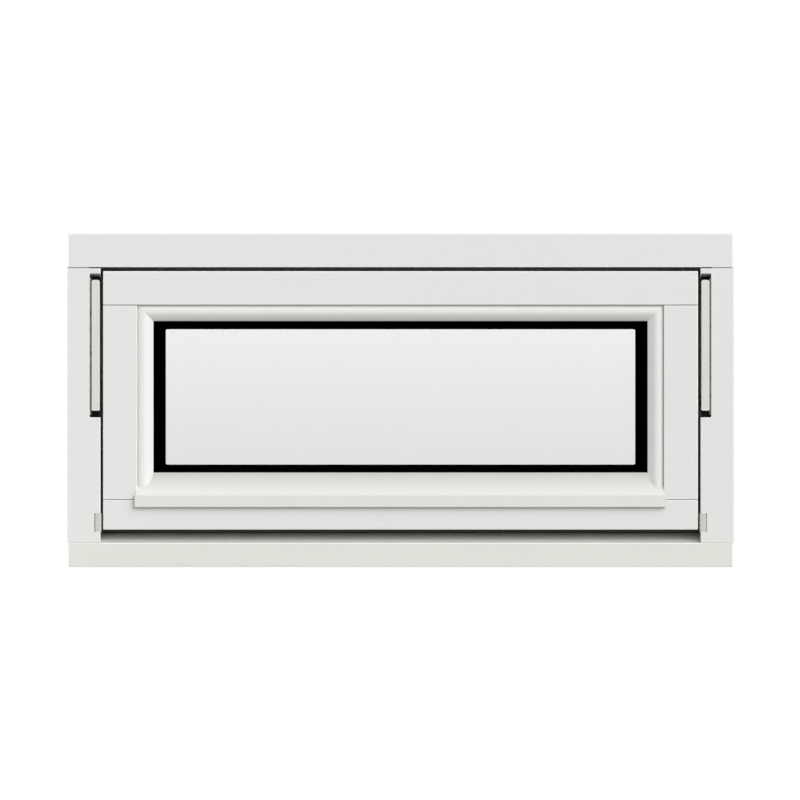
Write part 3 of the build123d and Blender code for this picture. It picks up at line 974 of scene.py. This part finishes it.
def ring_tree(material):
    sizes = {"Outer": "Float", "Inner": "Float", "Rise": "Float", "Place": "Vector", "Turn": "Rotation"}
    wire, given = new_tree("turned_ring", sizes)
    path_radius = (given["Outer"] + given["Inner"]) / 2
    circle = {"Resolution": ring_corners, "Radius": path_radius}
    path = wire.add("GeometryNodeCurvePrimitiveCircle", inputs=circle)
    box = {"Width": given["Outer"] - given["Inner"], "Height": given["Rise"]}
    outline = wire.add("GeometryNodeCurvePrimitiveQuadrilateral", inputs=box)
    easing = {"Curve": outline, "Radius": ring_ease, "Count": 3}
    eased = wire.add("GeometryNodeFilletCurve", {"mode": "POLY"}, easing)
    swept = wire.add("GeometryNodeCurveToMesh", inputs={"Curve": path, "Profile Curve": eased})
    spot = {"Geometry": swept, "Translation": given["Place"], "Rotation": given["Turn"]}
    return close_tree(wire, wire.add("GeometryNodeTransform", inputs=spot), material)


nylon_ring = ring_tree(rubber("nylon", "x", nylon_black, nylon_worn, 0.3))
lever_ring = ring_tree(lever_metal)


def ring(name, tree, seat, facing, outer, inner, rise, slot):
    """A ring whose flat side lies on its seat."""
    values = {
        "Outer": outer,
        "Inner": inner,
        "Rise": rise,
        "Place": Vector(seat) + Vector(facing) * (rise / 2),
        "Turn": heads_facing(facing),
    }
    run_tree(name, tree, values)


for side, sign in (("left", -1), ("right", 1)):
    arm_inner = nearest_x("hinge_arm_" + side)
    gap = arm_inner - furthest_x("hinge_sash_plate_" + side)
    for pin, name, hole, rise in (
        ("sash_pivot_", "pin_sleeve_", sleeve_hole, gap),
        ("frame_pivot_", "pin_cap_", pin_cap_hole, pin_cap_rise),
    ):
        seat = (sign * arm_inner, middle(pin + side, "y"), middle(pin + side, "z"))
        sizes = (sleeve_radius, hole, rise)
        ring(name + side, nylon_ring, seat, (-sign, 0, 0), *sizes, "gasket_rubber")

collar_seat = (0, rose_face, rose_middle)
collar_sizes = (collar_radius, collar_hole, collar_rise)
ring("lever_collar", lever_ring, collar_seat, (0, 1, 0), *collar_sizes, "handle_metal")

# %% [markdown]
# ## Rubber lips round the glass
# Where bead meets glass, a thin rubber lip presses on the pane. It follows the sight line all the way
# round with mitred corners. A modelled strip for each side would need four mitres by hand. A rectangle
# swept with a small wedge makes them by itself.

# %% Sweep the lips
lip_reach = 1.6 * mm
lip_thickness = 1.3 * mm
lip_roundness = 0.45
lip_overlap = lip_reach * 0.4
lip_rubber = rubber("lip_rubber", "x", rubber_black, rubber_bloom, 0.2)


def lip_tree():
    lengths = dict.fromkeys(("Width", "Height", "Reach", "Thickness"), "Float")
    wire, given = new_tree("rubber_lip", {**lengths, "Place": "Vector"})
    path_size = {"Width": given["Width"], "Height": given["Height"]}
    path = wire.add("GeometryNodeCurvePrimitiveQuadrilateral", inputs=path_size)
    wedge = {"Width": given["Reach"], "Height": given["Thickness"]}
    outline = wire.add("GeometryNodeCurvePrimitiveQuadrilateral", inputs=wedge)
    easing = {"Curve": outline, "Radius": given["Thickness"] * lip_roundness, "Count": 4}
    eased = wire.add("GeometryNodeFilletCurve", {"mode": "POLY"}, easing)
    swept = wire.add("GeometryNodeCurveToMesh", inputs={"Curve": path, "Profile Curve": eased})
    stand = {"Geometry": swept, "Rotation": (math.radians(90), 0, 0), "Translation": given["Place"]}
    return close_tree(wire, wire.add("GeometryNodeTransform", inputs=stand), lip_rubber)


lips = lip_tree()
sight_middle_z = (sight_top + sight_bottom) / 2
for name, y in (
    ("outer_lip", glass_front - lip_thickness / 2),
    ("inner_lip", glass_back + lip_thickness / 2),
):
    sight = {
        "Width": sight_right - sight_left - lip_overlap,
        "Height": sight_top - sight_bottom - lip_overlap,
        "Reach": lip_reach,
        "Thickness": lip_thickness,
        "Place": Vector((0, y, sight_middle_z)),
    }
    run_tree(name, lips, sight)

# %% [markdown]
# ## Perforations of the spacer
# The spacer bar between the panes is pierced towards the cavity, so that the drying agent inside can
# reach the air between the panes. The holes are small, evenly spaced and run all the way round. They
# are modelled as shallow rims along a rectangle a little inside the bar's face. Each rim has few
# faces, because there are hundreds.

# %% Pierce the spacer
hole_pitch = 7 * mm
hole_radius = 0.9 * mm
hole_rim = 0.25 * mm
rim_grey = (0.10, 0.10, 0.10)
rim_corners = 8
rim_wall_corners = 4


def perforation_tree(material):
    lengths = dict.fromkeys(("Width", "Height", "Pitch", "Radius"), "Float")
    wire, given = new_tree("perforations", {**lengths, "Place": "Vector"})
    path_size = {"Width": given["Width"], "Height": given["Height"]}
    path = wire.add("GeometryNodeCurvePrimitiveQuadrilateral", inputs=path_size)
    spaced = {"Curve": path, "Length": given["Pitch"]}
    points = wire.add("GeometryNodeResampleCurve", {"mode": "LENGTH"}, spaced)
    round_hole = {"Resolution": rim_corners, "Radius": given["Radius"]}
    circle = wire.add("GeometryNodeCurvePrimitiveCircle", inputs=round_hole)
    rim_section = {"Resolution": rim_wall_corners, "Radius": hole_rim}
    wall = wire.add("GeometryNodeCurvePrimitiveCircle", inputs=rim_section)
    rim = wire.add("GeometryNodeCurveToMesh", inputs={"Curve": circle, "Profile Curve": wall})
    inward = wire.add("GeometryNodeInputNormal")
    turn = wire.add("FunctionNodeAlignRotationToVector", {"axis": "Z"}, {"Vector": inward})
    placed = {"Points": points, "Instance": rim, "Rotation": turn}
    rims = wire.add("GeometryNodeInstanceOnPoints", inputs=placed)
    stand = {"Geometry": rims, "Rotation": (math.radians(90), 0, 0), "Translation": given["Place"]}
    return close_tree(wire, wire.add("GeometryNodeTransform", inputs=stand), material)


corner_reach = 3 * mm
rims = perforation_tree(rubber("perforation_rims", "x", rim_grey, rim_grey, 0.4))
cavity = {
    "Width": low("spacer_right", "x") - high("spacer_left", "x"),
    "Height": high("spacer_right", "z") - low("spacer_right", "z") + 2 * corner_reach,
    "Pitch": hole_pitch,
    "Radius": hole_radius,
    "Place": Vector((0, middle("spacer_top", "y"), middle("spacer_right", "z"))),
}
run_tree("spacer_perforations", rims, cavity)

# %% [markdown]
# ## How far the box grew
# The dressed window has to fit the box of the solids, so the growth of each side of the box is
# measured and printed.

# %% Measure and print the growth of the box
dressed_low, dressed_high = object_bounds()
growth = [round((b - a) / mm, 2) for a, b in zip((*solid_low, *solid_high), (*dressed_low, *dressed_high))]
print("growth of each side, mm:", growth)
